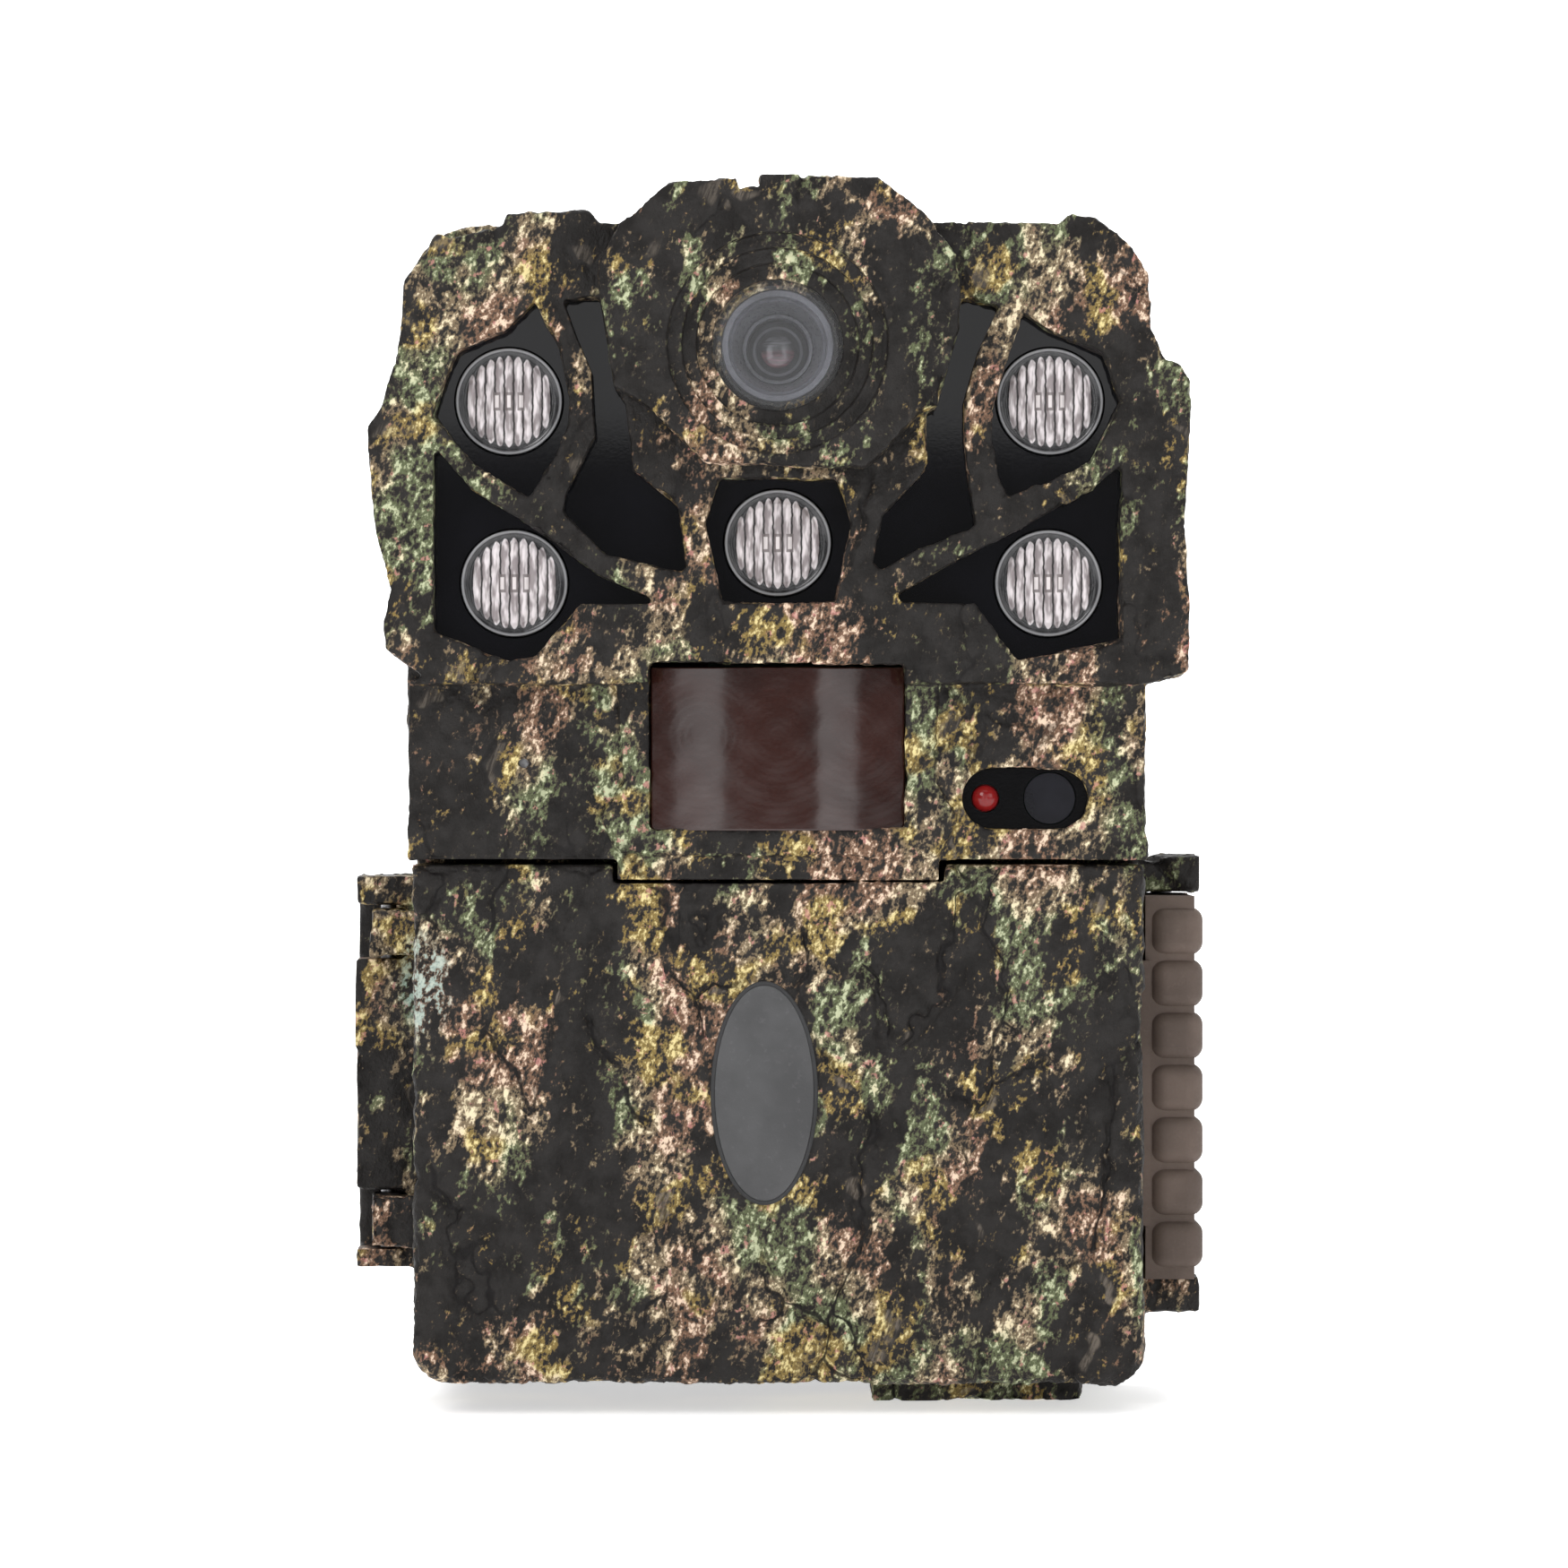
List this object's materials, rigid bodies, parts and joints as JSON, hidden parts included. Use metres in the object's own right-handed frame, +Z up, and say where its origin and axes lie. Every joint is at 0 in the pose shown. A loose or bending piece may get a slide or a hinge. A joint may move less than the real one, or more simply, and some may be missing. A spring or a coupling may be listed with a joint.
{
  "type": "trail camera",
  "caption": "Bark-pattern trail camera: hooded lens, infrared lamps behind a dark window, motion sensor, latched lower door, battery tray and strap bracket.",
  "frame": {"origin": "middle of the overall box, on the plane that the camera stands on", "axes": "+Z up, the lens looks along -Y, +X to the right as seen by a viewer facing the lens"},
  "size_m": [0.0964, 0.076, 0.1377],
  "materials": {
    "camo_shell": "matt moulded plastic with a bark camouflage print",
    "seal_rubber": "matt",
    "brass": "turned",
    "steel": "plated",
    "black_steel": "black powder coat",
    "dark_window": "polished infrared-pass plastic",
    "clear_lens": "clear ribbed moulding",
    "board_black": "solder mask",
    "board_green": "solder mask",
    "emitter": "ceramic with silicone dome",
    "cover_glass": "polished",
    "black_plastic": "fine texture",
    "filter_glass": "coated glass",
    "chip": "moulded",
    "pir_film": "dark red infrared film",
    "red_led": "tinted epoxy",
    "grey_badge": "printed",
    "taupe_rubber": "matt",
    "card_plastic": "moulded",
    "key_rubber": "matt",
    "ribbon": "polyimide film",
    "cell_wrap": "printed sleeve, plain"
  },
  "bodies": {
    "camera": {"rear_housing": "camo_shell", "front_shell": "camo_shell", "lens_hood": "camo_shell", "door_gasket": "seal_rubber", "tripod_insert": "brass", "case_screws": "steel", "ir_window": "dark_window", "ir_lens_1": "clear_lens", "ir_lens_2": "clear_lens", "ir_lens_3": "clear_lens", "ir_lens_4": "clear_lens", "ir_lens_5": "clear_lens", "ir_led_board": "board_black", "ir_emitters": "emitter", "lens_window": "cover_glass", "lens_barrel": "black_plastic", "lens_element": "cover_glass", "lens_mount": "black_plastic", "image_sensor_board": "board_green", "image_sensor": "chip", "main_board": "board_green", "main_board_components": "chip", "board_screws": "steel", "pir_lens": "pir_film", "sensor_board": "board_green", "pir_sensor": "steel", "eye_bezel": "black_plastic", "status_led": "red_led", "light_sensor": "chip", "microphone": "steel", "hinge_pin": "steel", "latch_pin": "steel", "control_panel": "black_plastic", "display_cover": "cover_glass", "display_module": "chip", "control_board": "board_green", "sd_socket": "steel", "tact_switches": "chip", "power_switch_body": "chip", "ribbon_cable": "ribbon", "dc_jack": "black_plastic", "strap_bracket": "black_steel", "bracket_screws": "steel"},
    "door": {"door_shell": "camo_shell", "door_liner": "black_plastic", "liner_screws": "steel", "door_badge": "grey_badge"},
    "latch": {"latch_lever": "taupe_rubber"},
    "tray": {"battery_tray": "black_plastic", "battery_cells": "cell_wrap", "battery_contacts": "steel"},
    "key_up": {"button_up": "key_rubber"},
    "key_down": {"button_down": "key_rubber"},
    "key_left": {"button_left": "key_rubber"},
    "key_right": {"button_right": "key_rubber"},
    "key_enter": {"button_enter": "key_rubber"},
    "mode_switch": {"power_switch": "key_rubber"},
    "card": {"sd_card": "card_plastic"},
    "filter": {"ir_cut_filter": "filter_glass"},
    "plug": {"jack_plug": "key_rubber"}
  },
  "joints": [
    {"name": "door_hinge", "type": "hinge", "parent": "camera", "child": "door", "pos_m": [-0.0446, -0.0102, 0.0325], "axis": [0, 0, -1], "range_deg": [0, 110]},
    {"name": "latch_hinge", "type": "hinge", "parent": "camera", "child": "latch", "pos_m": [0.04475, 0.004, 0.036], "axis": [0, 0, 1], "range_deg": [0, 60]},
    {"name": "tray_slide", "type": "slide", "parent": "camera", "child": "tray", "axis": [0, 0, -1], "range_m": [0, 0.058]},
    {"name": "mode_switch_slide", "type": "slide", "parent": "camera", "child": "mode_switch", "axis": [1, 0, 0], "range_m": [0, 0.006]},
    {"name": "card_slide", "type": "slide", "parent": "camera", "child": "card", "axis": [0, -1, 0], "range_m": [0, 0.004]},
    {"name": "filter_slide", "type": "slide", "parent": "camera", "child": "filter", "axis": [1, 0, 0], "range_m": [0, 0.0055]},
    {"name": "plug_slide", "type": "slide", "parent": "camera", "child": "plug", "axis": [1, 0, 0], "range_m": [0, 0.012]},
    {"name": "button_up_press", "type": "slide", "parent": "camera", "child": "key_up", "axis": [0, 1, 0], "range_m": [0, 0.0005], "stiffness_N_per_m": 400},
    {"name": "button_down_press", "type": "slide", "parent": "camera", "child": "key_down", "axis": [0, 1, 0], "range_m": [0, 0.0005], "stiffness_N_per_m": 400},
    {"name": "button_left_press", "type": "slide", "parent": "camera", "child": "key_left", "axis": [0, 1, 0], "range_m": [0, 0.0005], "stiffness_N_per_m": 400},
    {"name": "button_right_press", "type": "slide", "parent": "camera", "child": "key_right", "axis": [0, 1, 0], "range_m": [0, 0.0005], "stiffness_N_per_m": 400},
    {"name": "button_enter_press", "type": "slide", "parent": "camera", "child": "key_enter", "axis": [0, 1, 0], "range_m": [0, 0.0005], "stiffness_N_per_m": 400}
  ]
}
